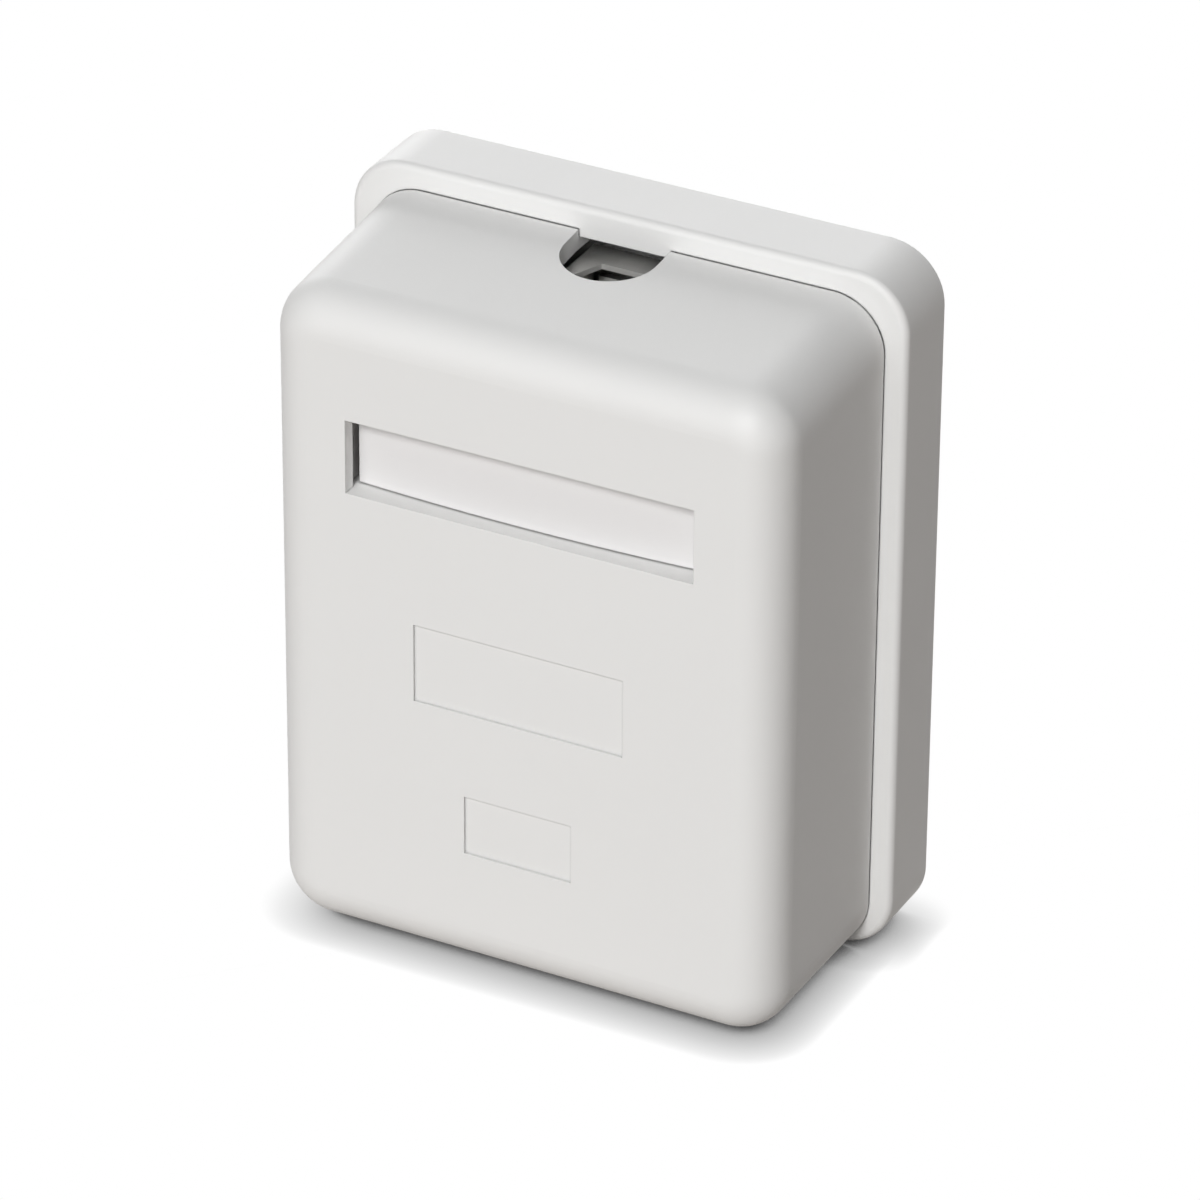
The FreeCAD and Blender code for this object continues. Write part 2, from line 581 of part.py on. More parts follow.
def shield_tray():
    """The rear half of the shield: a shallow pan whose neck and spout rise behind the cable."""
    half, low, high = "tray_half", "shield_low + sheet + sheet_gap", "shield_high - sheet - sheet_gap"
    inner_half, neck_inner = "tray_half - sheet", "neck_half - sheet"
    front = "tray_y - tray_flange"
    parting = "hex_middle + half_gap"
    outer = fuse("tray_outer", [
        box("tray_block", ("-" + half, half), (front, "tray_y"), (low, high)),
        box("tray_neck", ("-neck_half", "neck_half"), (parting, "tray_y"), (low, "neck_top")),
        box("tray_spout", ("-spout_half", "spout_half"), (parting, "tray_y"),
            ("neck_top - sheet", "spout_top"))])
    inner = [box("tray_room", ("-(%s)" % inner_half, inner_half), (parting + " - 1", "tray_y - sheet"),
                 (low + " + sheet", high + " - sheet")),
             box("tray_neck_room", ("-(%s)" % neck_inner, neck_inner),
                 (parting + " - 1", "tray_y - sheet"), (high + " - 2 * sheet", "neck_top - sheet")),
             box("tray_spout_room", ("-(spout_half - sheet)", "spout_half - sheet"),
                 (parting + " - 1", "tray_y - sheet"), ("neck_top - 2 * sheet", "spout_top - sheet")),
             hexagon_cut("tray_hexagon")]
    inner += jack_gate("tray", low + " - 1", low + " + 2 * sheet")
    for u in ("-screw_spread", "screw_spread"):
        for v in ("screw_low", "screw_high"):
            inner.append(rod("tray_hole", "screw_radius + screw_gap", "tray_y", u, "0", v, BACKWARD))
    pan = cut("tray_pan", outer, inner)
    posts = []
    for sign in SIDES.values():
        for v in ("screw_low", "screw_high"):
            post = rod("tray_spacer", "standoff_radius", "board_gap", sign + "screw_spread",
                       "tray_y - sheet", v, FORWARD)
            bore = rod("tray_spacer_bore", "screw_radius + screw_gap", "board_gap + 1",
                       sign + "screw_spread", "tray_y - sheet / 2", v, FORWARD)
            posts.append(cut("tray_spacer_ring", post, [bore]))
        post = rod("strap_post", "strap_screw_radius + strap_post_wall",
                   "tray_y - sheet - strap_front - strap_wall", sign + "strap_screw_spread",
                   "tray_y - sheet", "(strap_low + strap_high) / 2", FORWARD)
        bore = rod("strap_post_bore", "strap_screw_radius + screw_gap", "strap_screw_bite",
                   sign + "strap_screw_spread", "strap_front + strap_wall + strap_screw_bite",
                   "(strap_low + strap_high) / 2", FORWARD)
        posts.append(cut("strap_post_ring", post, [bore]))
    keep(fuse("tray", [pan] + posts), "shield_tray")


def shield_lid():
    """The front half of the shield: a deep pan over the tray's flanges, with neck and spout."""
    rear = "tray_y - sheet * 2"
    parting = "hex_middle - half_gap"
    neck_inner = "neck_half - sheet"
    block = box("lid_block", ("-lid_half", "lid_half"), ("lid_y", rear), ("shield_low", "shield_high"))
    room = box("lid_room", ("-(lid_half - sheet)", "lid_half - sheet"),
               ("lid_y + sheet", rear + " + 1"), ("shield_low + sheet", "shield_high - sheet"))
    doc.recompute()
    outer = fuse("lid_outer", [
        round_front(block, "lid_block_bends", "lid_y", "bend"),
        box("lid_neck", ("-neck_half", "neck_half"), ("neck_front", parting),
            ("shield_high - sheet", "neck_top")),
        box("lid_spout", ("-spout_half", "spout_half"), ("spout_front", parting),
            ("neck_top - sheet", "spout_top"))])
    inner = [round_front(room, "lid_room_bends", "lid_y + sheet", "bend - sheet"),
             box("lid_neck_room", ("-(%s)" % neck_inner, neck_inner),
                 ("neck_front + sheet", parting + " + 1"),
                 ("shield_high - 2 * sheet", "neck_top - sheet")),
             box("lid_spout_room", ("-(spout_half - sheet)", "spout_half - sheet"),
                 ("spout_front + sheet", parting + " + 1"),
                 ("neck_top - 2 * sheet", "spout_top - sheet")),
             box("lid_neck_pass", ("-(neck_half + sheet_gap)", "neck_half + sheet_gap"),
                 (parting, rear + " + 1"), ("shield_high - 2 * sheet", "neck_top + 1")),
             hexagon_cut("lid_hexagon")]
    inner += jack_gate("lid", "shield_low - 1", "shield_low + 2 * sheet")
    keep(cut("lid", outer, inner), "shield_lid")


# ---------------------------------------------------------------- board and sockets
def circuit_board():
    """The board, upright and parallel to the wall, with its four screw holes."""
    body = new_body("circuit_board")
    plan = sketch_on(body, "XZ_Plane", "board_plan", "-board_y - board_wall")
    rounded(plan, "-board_half", "board_half", "board_low", "board_high", "board_corner")
    for sign in SIDES.values():
        for v in ("screw_low", "screw_high"):
            ring(plan, sign + "screw_spread", v, "screw_radius + screw_gap")
    pad(body, plan, "board_wall")


def jack(side, sign):
    """One eight-way socket: housing, metal sleeve and eight sprung contacts."""
    middle = "%sjack_pitch / 2" % sign
    body = new_body("jack_housing_" + side)
    plan = sketch_on(body, "XY_Plane", "housing_plan_" + side, "jack_nose")
    rectangle(plan, "%s - jack_width / 2" % middle, "%s + jack_width / 2" % middle, "jack_y", "board_y")
    pad(body, plan, "jack_length")
    mouth = sketch_on(body, "XY_Plane", "mouth_plan_" + side, "jack_nose")
    floor = "board_y - mouth_floor"
    steps = (("mouth_width", floor), ("mouth_width", floor + " - mouth_high"),
             ("key_width", floor + " - mouth_high"), ("key_width", floor + " - mouth_high - key_high"),
             ("tab_width", floor + " - mouth_high - key_high"),
             ("tab_width", floor + " - mouth_high - key_high - tab_high"))
    points = [("%s - %s / 2" % (middle, wide), v) for wide, v in steps]
    points += [("%s + %s / 2" % (middle, wide), v) for wide, v in reversed(steps)]
    outline(mouth, points)
    pocket(body, mouth, "mouth_deep", forwards=True)

    around = box("sleeve_outer_" + side,
                 ("%s - jack_width / 2 - sleeve" % middle, "%s + jack_width / 2 + sleeve" % middle),
                 ("jack_y - sleeve", "board_y"),
                 ("jack_nose + sleeve_set_back", "jack_top + sleeve"))
    room = box("sleeve_room_" + side,
               ("%s - jack_width / 2" % middle, "%s + jack_width / 2" % middle),
               ("jack_y", "board_y + 1"), ("0", "jack_top"))
    keep(cut("sleeve_" + side, around, [room]), "jack_shield_" + side)

    wires = []
    for number in range(8):
        wire = doc.addObject("Part::Cylinder", "wire_%s_%d" % (side, number + 1))
        bind(wire, Radius="wire_radius", Height="wire_length", Placement_Rotation_Angle="wire_tilt")
        wire.Placement = Placement(Vector(), Rotation(Vector(1, 0, 0), value("wire_tilt")))
        place(wire, "%s + (%d - 3.5) * wire_pitch" % (middle, number),
              floor + " - wire_radius", "jack_nose + mouth_deep / 5")
        wires.append(wire)
    keep(group("wires_" + side, wires), "jack_contacts_" + side)


def punch_block(side, sign):
    """One punch-down block with four slots in each of two rows, and a forked blade in each."""
    middle = "%sjack_pitch / 2" % sign
    body = new_body("idc_block_" + side)
    plan = sketch_on(body, "XZ_Plane", "block_plan_" + side, "-board_y")
    rectangle(plan, "%s - block_width / 2" % middle, "%s + block_width / 2" % middle,
              "block_low", "block_low + block_length")
    pad(body, plan, "block_high")
    first = "%s - block_pitch * 1.5" % middle
    rows = (("block_low", "block_low + (block_length - block_web) / 2"),
            ("block_low + (block_length + block_web) / 2", "block_low + block_length"))
    cuts = sketch_on(body, "XZ_Plane", "block_slots_" + side, "-board_y + block_high")
    for low, high in rows:
        rectangle(cuts, first + " - block_slot / 2", first + " + block_slot / 2", low, high)
    single = pocket(body, cuts, "block_slot_depth")
    row = body.newObject("PartDesign::LinearPattern", "slot_row_" + side)
    row.Originals = [single]
    row.Direction = (cuts, ["H_Axis"])
    bind(row, Length="3 * block_pitch")
    row.Occurrences = 4
    body.Tip = row

    forks = []
    for number in range(4):
        for level, (low, high) in enumerate(rows):
            name = "fork_%s_%d_%d" % (side, number + 1, level + 1)
            u = "%s + %d * block_pitch" % (first, number)
            seat = "board_y - block_high + block_slot_depth"
            v = "(%s + %s) / 2" % (low, high)
            blade = box(name + "_blade", ("%s - fork_wide / 2" % u, "%s + fork_wide / 2" % u),
                        (seat + " - fork_high", seat), (v + " - fork_wall / 2", v + " + fork_wall / 2"))
            gap = box(name + "_gap", ("%s - fork_gap / 2" % u, "%s + fork_gap / 2" % u),
                      (seat + " - fork_high - 1", seat + " - fork_high + fork_gap_deep"),
                      (v + " - fork_wall", v + " + fork_wall"))
            forks.append(cut(name, blade, [gap]))
    keep(group("forks_" + side, forks), "idc_contacts_" + side)


# ---------------------------------------------------------------- cable clamp and screws
def screw(label, x, y, z, radius, length, head_radius, head_high):
    """A pan head screw that points to the wall, its head's underside at a depth."""
    head = rod(label + "_head", head_radius, head_high, x, y, z, FORWARD)
    shank = rod(label + "_shank", radius, length, x, y, z, BACKWARD)
    keep(fuse(label + "_solid", [head, shank]), label)


def cable_clamp():
    """A saddle behind the cable and a strap in front of it, with two screws."""
    keep(box("saddle", ("-saddle_half", "saddle_half"), ("saddle_front", "tray_y - sheet"),
             ("saddle_low", "saddle_high")), "cable_saddle")
    bar = box("strap_bar", ("-strap_half", "strap_half"), ("strap_front", "strap_front + strap_wall"),
              ("strap_low", "strap_high"))
    middle = "(strap_low + strap_high) / 2"
    holes = [rod("strap_hole", "strap_screw_radius + screw_gap", "strap_wall + 2",
                 sign + "strap_screw_spread", "strap_front - 1", middle, BACKWARD)
             for sign in SIDES.values()]
    keep(cut("strap", bar, holes), "cable_strap")
    for side, sign in SIDES.items():
        screw("strap_screw_" + side, sign + "strap_screw_spread", "strap_front", middle,
              "strap_screw_radius", "strap_wall + strap_screw_bite - screw_end_gap",
              "strap_screw_radius * 1.6", "strap_head_high")


base_frame()
cover()
label_strip()
shield_tray()
shield_lid()
circuit_board()
for side, sign in SIDES.items():
    jack(side, sign)
    punch_block(side, sign)
cable_clamp()
for side, sign in SIDES.items():
    for level in ("low", "high"):
        screw("board_screw_%s_%s" % (side, level), sign + "screw_spread", "board_y",
              "screw_" + level, "screw_radius", "tray_y - board_y + screw_bite - screw_end_gap",
              "screw_head", "screw_head_high")

# ---------------------------------------------------------------- check and write
doc.recompute()
failed = [item.Name for item in doc.Objects if {"Invalid", "Error"} & set(item.State)]
failed += [item.Label for item in subparts if item.Shape.isNull() or not item.Shape.isValid()]
if failed:
    raise RuntimeError("failed: " + ", ".join(failed))
os.makedirs("parts", exist_ok=True)
for item in subparts:
    item.Shape.exportStep("parts/%s.step" % item.Label)
    limits = item.Shape.BoundBox
    print("%-26s %9.1f mm3  x %6.2f %6.2f  y %6.2f %6.2f  z %6.2f %6.2f" % (
        item.Label, item.Shape.Volume, limits.XMin, limits.XMax, limits.YMin, limits.YMax,
        limits.ZMin, limits.ZMax))
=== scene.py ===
# %% [markdown]
# # A surface mount jack box
# A white wall box for two network sockets, dressed for a studio shot. The pieces come from the
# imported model, in metres, and are never moved. What follows gives each one the finish that its
# maker gave it, and works out the few small forms that a solid model leaves plain.

# %% Load the model
import math

import bpy
import numpy as np
from mathutils import Matrix, Vector


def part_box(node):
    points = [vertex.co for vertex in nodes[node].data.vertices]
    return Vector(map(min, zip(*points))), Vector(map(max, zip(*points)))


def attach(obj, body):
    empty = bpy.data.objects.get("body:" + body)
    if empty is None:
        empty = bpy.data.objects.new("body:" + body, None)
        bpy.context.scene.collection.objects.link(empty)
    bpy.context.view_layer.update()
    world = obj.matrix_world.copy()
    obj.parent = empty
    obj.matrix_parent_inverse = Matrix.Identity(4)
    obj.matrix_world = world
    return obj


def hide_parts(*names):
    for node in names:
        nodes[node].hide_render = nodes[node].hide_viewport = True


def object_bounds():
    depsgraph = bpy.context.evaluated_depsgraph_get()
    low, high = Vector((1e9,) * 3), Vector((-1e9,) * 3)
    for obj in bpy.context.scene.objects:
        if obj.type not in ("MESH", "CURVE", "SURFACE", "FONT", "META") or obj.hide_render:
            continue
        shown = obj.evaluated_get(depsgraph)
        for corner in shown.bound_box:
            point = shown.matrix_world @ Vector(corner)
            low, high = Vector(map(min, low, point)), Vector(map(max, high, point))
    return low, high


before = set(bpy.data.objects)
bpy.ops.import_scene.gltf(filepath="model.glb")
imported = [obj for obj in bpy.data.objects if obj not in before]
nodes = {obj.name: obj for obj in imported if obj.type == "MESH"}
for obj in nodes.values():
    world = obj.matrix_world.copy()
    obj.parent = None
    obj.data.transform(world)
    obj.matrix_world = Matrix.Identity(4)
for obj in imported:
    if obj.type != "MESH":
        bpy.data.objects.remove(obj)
MM = 0.001
cad_low, cad_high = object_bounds()
print("model box in mm:", [round(v / MM, 2) for v in cad_high - cad_low], "nodes:", len(nodes))

# %% [markdown]
# ## Colour and node helpers
# Colours are written as the eye reads them, in sRGB hex, and one function turns them to the
# linear values that the shaders want. One more adds a node with its settings and its links.

# %% Helpers for materials
def colour(text):
    """Linear RGBA from sRGB hex: below 0.04045 divide by 12.92, above it a power of 2.4."""
    srgb = np.array([int(text[i:i + 2], 16) for i in (1, 3, 5)]) / 255
    linear = np.where(srgb <= 0.04045, srgb / 12.92, ((srgb + 0.055) / 1.055) ** 2.4)
    return (*linear.tolist(), 1.0)


def add(owner, kind, links=None, **settings):
    """Add one node to a material or a world: settings name its properties or its inputs, links
    feed its inputs."""
    node = owner.node_tree.nodes.new("ShaderNode" + kind)
    for name, value in settings.items():
        if hasattr(node, name):
            setattr(node, name, value)
        else:
            node.inputs[name.replace("_", " ")].default_value = value
    for socket, source in (links or {}).items():
        owner.node_tree.links.new(source, node.inputs[socket])
    return node


def new_material(name):
    """An empty node material and its output node."""
    material = bpy.data.materials.new(name)
    material.use_nodes = True
    material.node_tree.nodes.clear()
    return material, add(material, "OutputMaterial")


def finish_with(material, output, shader):
    """Link a shader to a material's surface."""
    material.node_tree.links.new(shader.outputs[0], output.inputs["Surface"])
    print("material:", material.name, "nodes:", len(material.node_tree.nodes))
    return material


# %% [markdown]
# ## Moulded ABS
# Both shells are injection moulded ABS, a plastic with an IOR of about 1.54. The mould's steel
# is spark finished, which leaves a fine even grain about a tenth of a millimetre across, so the
# face looks satin: a soft, wide highlight and no sharp reflection. The grain is drawn at
# 0.25 mm, coarser than life, because finer would not show. A slow drift of tone and gloss, over
# 15 mm or so, is what the melt's flow leaves behind. The Bevel node rounds the light, not the
# mesh, over the last 0.15 mm of each cut edge, as a mould never gives a knife edge. Shade is
# painted into the colour in each inside corner and hollow: the AmbientOcclusion node finds points
# from which the sky is half hidden within a fraction of a millimetre, and the tone darkens there.

# %% Painted shade in hollows
def painted_hollow_shade(material, reach_mm, darkest, hidden, clear):
    """Painted shade for the tone, by the share of sky seen: darkest below hidden, 1 above clear.
    """
    near = add(material, "AmbientOcclusion", samples=12, Distance=reach_mm * MM)
    factor = add(material, "MapRange", {"Value": near.outputs["AO"]},
                 From_Min=hidden, From_Max=clear, To_Min=darkest, To_Max=1.0)
    return factor.outputs["Result"]


# %% Moulded plastic
FLOW_MM = 15.0                                     # how far apart the melt's drifts lie
FLOW_SHADE, FLOW_GLOSS = 0.985, 0.03               # how much they change the tone and the gloss
GRAIN_DEEP = 0.2                                   # the grain's depth, as a share of its width
# painted shade in the plastic's hollows: how far it reaches, how dark, and shares of sky seen
PLASTIC_HOLLOW_SHADE = {"reach_mm": 0.35, "darkest": 0.68, "hidden": 0.45, "clear": 0.95}


def moulded(name, tone, roughness, grain_mm=0.25, grain_depth=0.06, edge_mm=0.15):
    """Satin moulded plastic: an even grain, a slow drift of tone and gloss, and eased edges."""
    material, output = new_material(name)
    where = add(material, "TexCoord").outputs["Object"]
    drift = add(material, "TexNoise", {"Vector": where}, Scale=1 / (FLOW_MM * MM), Detail=3.0)
    grain = add(material, "TexNoise", {"Vector": where}, Scale=1 / (grain_mm * MM), Detail=2.0)
    tones = add(material, "ValToRGB", {"Fac": drift.outputs["Fac"]})
    for stop, shade in zip(tones.color_ramp.elements, (FLOW_SHADE, 1.0)):
        stop.color = [channel * shade for channel in colour(tone)[:3]] + [1.0]
    # painted shade: the tone is darkened where the sky is partly hidden nearby
    hollow_shade = painted_hollow_shade(material, **PLASTIC_HOLLOW_SHADE)
    shaded_tone = add(material, "VectorMath", {0: tones.outputs["Color"], 1: hollow_shade},
                 operation="MULTIPLY")
    gloss = add(material, "MapRange", {"Value": drift.outputs["Fac"]},
                To_Min=roughness - FLOW_GLOSS, To_Max=roughness + FLOW_GLOSS)
    eased = add(material, "Bevel", samples=6, Radius=edge_mm * MM)
    bump = add(material, "Bump", {
        "Height": grain.outputs["Fac"], "Normal": eased.outputs["Normal"]},
        Strength=grain_depth, Distance=grain_mm * MM * GRAIN_DEEP)
    shader = add(material, "BsdfPrincipled", {
        "Base Color": shaded_tone.outputs["Vector"], "Roughness": gloss.outputs["Result"],
        "Normal": bump.outputs["Normal"]}, IOR=1.54)
    return finish_with(material, output, shader)


shell_plastic = moulded("white_abs_spark_finished", "#E8E8E7", 0.5)
strip_plastic = moulded("white_abs_label_strip", "#E4E3E3", 0.5, grain_depth=0.03)
socket_plastic = moulded("black_pbt_glass_filled", "#1A1A1C", 0.38, grain_mm=0.4)
block_plastic = moulded("ivory_polycarbonate", "#D8D4C6", 0.34)

# %% [markdown]
# ## Tinned steel
# The shield is pressed from thin steel sheet with a dip of tin: a pale, warm grey metal, a
# little cloudy, with the faint lines of the rolling mill along its length. Dull tin is rough at
# a scale far below these lines, so part of its light is scattered evenly, as paint would do:
# that share is what its metallic value leaves over. A metal keeps its default IOR. Shade is
# painted into its colour where it is folded in, darkest at each inside corner and fading over
# a few millimetres. The screws' zinc and the contacts' gold are thin coats on drawn wire, with
# such lines and painted shade in their hollows too, so they share the recipe, each with its
# own tone and gloss.

# %% Sheet metal
CLOUD_MM = 6.0                                     # the size of the coat's cloudy patches
CLOUD_GLOSS = (-0.07, 0.09)                        # how far they move the roughness
LINE_STRENGTH, LINE_DEEP = 0.12, 0.1               # the lines' bump, and its share of their width
HOLLOW_SHADE_SHARES = {"hidden": 0.25, "clear": 0.55}           # shares of sky seen, as for the painted shade on plastic


def rolled_metal(name, tone, roughness, metallic=1.0, line_mm=0.3, stretch=14.0,
                 reach_mm=0.4, darkest=0.5):
    """Pale metal: fine lines, drawn out along Z, a cloudy gloss and painted shade in hollows."""
    material, output = new_material(name)
    where = add(material, "TexCoord").outputs["Object"]
    along = add(material, "Mapping", {"Vector": where}, Scale=(1.0, 1.0, 1 / stretch))
    lines = add(material, "TexNoise", {"Vector": along.outputs["Vector"]},
                Scale=1 / (line_mm * MM), Detail=4.0)
    clouds = add(material, "TexNoise", {"Vector": where}, Scale=1 / (CLOUD_MM * MM), Detail=3.0)
    gloss = add(material, "MapRange", {"Value": clouds.outputs["Fac"]},
                To_Min=roughness + CLOUD_GLOSS[0], To_Max=roughness + CLOUD_GLOSS[1])
    bump = add(material, "Bump", {"Height": lines.outputs["Fac"]},
               Strength=LINE_STRENGTH, Distance=line_mm * MM * LINE_DEEP)
    # painted shade: the metal's tone is darkened where the sky is hidden nearby
    shaded_metal_tone = add(material, "VectorMath", {1: painted_hollow_shade(material, reach_mm, darkest, **HOLLOW_SHADE_SHARES)},
                  operation="MULTIPLY")
    shaded_metal_tone.inputs[0].default_value = colour(tone)[:3]
    shader = add(material, "BsdfPrincipled", {
        "Base Color": shaded_metal_tone.outputs["Vector"], "Roughness": gloss.outputs["Result"],
        "Normal": bump.outputs["Normal"]}, Metallic=metallic)
    return finish_with(material, output, shader)


# the shield's painted shade reaches 4.5 mm from each inside corner, down to 0.16 of its tone
shield_metal = rolled_metal("dull_tinned_steel_sheet", "#DAD9D6", 0.4, metallic=0.45,
                            reach_mm=4.5, darkest=0.16)
screw_metal = rolled_metal("zinc_plated_steel", "#B9B9BC", 0.28, line_mm=0.5, stretch=1.0)
contact_metal = rolled_metal("gold_plated_bronze", "#D9A94A", 0.2, line_mm=0.5, stretch=4.0)

# %% [markdown]
# ## Solder mask
# The board is glass and epoxy under a green lacquer. The lacquer is smooth and glossy, and the
# weave of the glass cloth beneath shows through as a faint check of about half a millimetre.

# %% Circuit board lacquer
WEAVE_SHADE = 0.9                                  # the darker check, as a share of the tone


def board_lacquer(name, tone, weave_mm=0.5):
    """Glossy lacquer over woven glass: a fine check darkens the colour slightly."""
    material, output = new_material(name)
    where = add(material, "TexCoord").outputs["Object"]
    weave = add(material, "TexChecker", {"Vector": where}, Scale=1 / (weave_mm * MM),
                Color1=colour(tone),
                Color2=[channel * WEAVE_SHADE for channel in colour(tone)[:3]] + [1.0])
    shader = add(material, "BsdfPrincipled", {"Base Color": weave.outputs["Color"]},
                 Roughness=0.3, IOR=1.5, Coat_Weight=0.5, Coat_Roughness=0.15)
    return finish_with(material, output, shader)


board_green = board_lacquer("green_solder_mask", "#17452B")

# %% [markdown]
# ## Dressing the model's own pieces
# Each node keeps its mesh. Only its material slots change.

# %% Give every node its finish
FINISHES = {
    "base_frame": shell_plastic, "cover": shell_plastic, "label_strip": strip_plastic,
    "shield": shield_metal, "jack_shield": shield_metal, "cable": shield_metal,
    "circuit_board": board_green, "jack_housing": socket_plastic, "idc_block": block_plastic,
    "jack_contacts": contact_metal, "idc_contacts": contact_metal,
    "strap_screw": screw_metal, "board_screw": screw_metal,
}


def dress(name, piece):
    """Put the finish whose name starts the node's name on every slot of the piece."""
    finish = next(item for start, item in FINISHES.items() if name.startswith(start))
    if not piece.data.materials:
        piece.data.materials.append(finish)
    for index in range(len(piece.data.materials)):
        piece.data.materials[index] = finish


for name, piece in nodes.items():
    dress(name, piece)
print("dressed:", len(nodes))

# %% [markdown]
# ## Surfaces on a grid
# A sprung contact is a round wire carried along a bent line, and a screw is a profile turned
# about an axis. Both could be a curve with a bevel or a mesh with a Screw modifier. Here each is
# a grid of points from one formula in two parameters, worked out as a whole array, because then
# a thread or a cross recess costs one more term and no more modelling.

# %% A closed piece from grids
def grid_piece(name, grids, finish, node, crease):
    """Tubes from an array (tube, row, around, 3): quads between rows and a cap at each end."""
    tubes, rows, around, _ = grids.shape
    index = np.arange(tubes * rows * around).reshape(tubes, rows, around)
    turned = np.roll(index, -1, axis=2)
    quads = np.stack((index[:, :-1], turned[:, :-1], turned[:, 1:], index[:, 1:]), axis=-1)
    caps = np.concatenate((index[:, 0, ::-1], index[:, -1]))
    mesh = bpy.data.meshes.new(name)
    faces = quads.reshape(-1, 4).tolist() + caps.tolist()
    mesh.from_pydata(grids.reshape(-1, 3).tolist(), [], faces)
    mesh.shade_smooth()
    mesh.set_sharp_from_angle(angle=math.radians(crease))
    mesh.materials.append(finish)
    piece = bpy.data.objects.new(name, mesh)
    bpy.context.scene.collection.objects.link(piece)
    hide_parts(node)
    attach(piece, "wall_unit")
    print("grid piece:", name, "faces:", len(mesh.polygons))
    return piece


# %% [markdown]
# ## Sprung contacts
# Each socket has eight phosphor bronze wires with gold on them, half a millimetre thick. A wire
# runs along the mouth's floor, turns back in a hairpin near the opening and rises into the
# mouth, where the plug pushes it down. Its line is easiest to tell by its heading: straight,
# then a steady turn, then straight again with a slight bow. Adding up the headings gives the
# points, so the wire keeps its length whatever the bend.

# %% Contact wires
WIRES = 8
WIRE_PITCH, WIRE_RADIUS = 1.02 * MM, 0.22 * MM
WIRE_LAY, WIRE_BEND = 4.6 * MM, 0.55 * MM          # along the mouth's floor, and the turn's radius
WIRE_RISE, WIRE_BOW = 5.2 * MM, 2.6 * MM           # straight up into the mouth, and its bowed end
RISE_ANGLE, BOW_ANGLE = 27, 16                     # degrees
WIRE_INSET, WIRE_HEIGHT = 2.6 * MM, 6.4 * MM       # from the housing's back, and from its foot


def contact_line(steps=64):
    """Points and headings of a hairpin: the heading is a broken line over the length."""
    turn = math.radians(180 - RISE_ANGLE)
    marks = np.cumsum([0, WIRE_LAY, WIRE_BEND * turn, WIRE_RISE, WIRE_BOW])
    heading = np.radians([180, 180, RISE_ANGLE, RISE_ANGLE, RISE_ANGLE - BOW_ANGLE])
    length = np.linspace(0, marks[-1], steps)
    angle = np.interp(length, marks, heading)
    step = np.diff(length, prepend=0)[:, None]
    line = np.cumsum(np.stack((-np.sin(angle), np.cos(angle)), axis=1) * step, axis=0)
    return line, angle


def contact_wires(side, around=12):
    """Eight tubes: the line's point plus a circle square to its heading, a pitch apart in X."""
    low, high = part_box("jack_housing_" + side)
    line, angle = contact_line()
    start = Vector(((low.x + high.x) / 2, high.y - WIRE_INSET - WIRE_RADIUS, low.z + WIRE_HEIGHT))
    spin = np.linspace(0, 2 * math.pi, around, endpoint=False)
    places = (np.arange(WIRES) - (WIRES - 1) / 2) * WIRE_PITCH
    across = places[:, None, None] + WIRE_RADIUS * np.cos(spin)
    across = np.broadcast_to(across, (WIRES, len(line), around))
    depth = line[:, :1] + WIRE_RADIUS * np.sin(spin) * np.cos(angle)[:, None]
    height = line[:, 1:] + WIRE_RADIUS * np.sin(spin) * np.sin(angle)[:, None]
    flat = np.broadcast_to(np.stack((depth, height), axis=-1), (WIRES, len(line), around, 2))
    grids = np.concatenate((across[..., None], flat), axis=-1) + np.array(start)
    wires = grid_piece("contact_wires_" + side, grids, contact_metal, "jack_contacts_" + side, 50)
    return wires


for side in ("left", "right"):
    contact_wires(side)

# %% [markdown]
# ## Screws
# The screws are zinc plated steel with a pan head and a cross recess. The profile runs from the
# middle of the head over its dome, down its edge, in under it and along the shank. Two terms
# change it with the angle: the cross sinks the dome where the point is near either line of the
# cross, and the thread moves the shank's radius with a wave that climbs one pitch a turn.

# %% The profile of a screw
DOME_STEPS, SHANK_STEPS, POLE = 26, 56, 0.02       # rows, and the first row's angle off the axis
DOME_SHARE = 0.6                                   # of the head's height, above its straight edge
TIP_SHARE, TIP_LONG = 0.35, 0.8                    # of the shank's radius: across, and along


def screw_profile(head_radius, head_high, shank_radius, length):
    """Radius and depth down the screw: a quarter ellipse, an edge, the seat, the shank, a tip."""
    t = np.linspace(POLE, math.pi / 2, DOME_STEPS)
    rise = 1 - DOME_SHARE + DOME_SHARE * np.cos(t)
    dome = np.stack((head_radius * np.sin(t), -head_high * rise), axis=1)
    seat = [(head_radius, -0.02 * MM), (shank_radius, 0)]
    shaft = np.linspace(0.0, length - TIP_LONG * shank_radius, SHANK_STEPS)[1:]
    shank = np.stack((np.full_like(shaft, shank_radius), shaft), axis=1)
    tip = [(TIP_SHARE * shank_radius, length)]
    return np.concatenate((dome, seat, shank, tip)), len(dome), len(dome) + len(seat)


# %% Turned screws
CROSS_HALF, CROSS_EASE = 0.14, 0.07                # of the head's radius: an arm's half width
CROSS_REACH, END_EASE = 0.62, 0.12                 # of the head's radius: how far an arm reaches
CROSS_DEEP, THREAD_DEEP = 0.55, 0.32               # of the head's height, and of the pitch


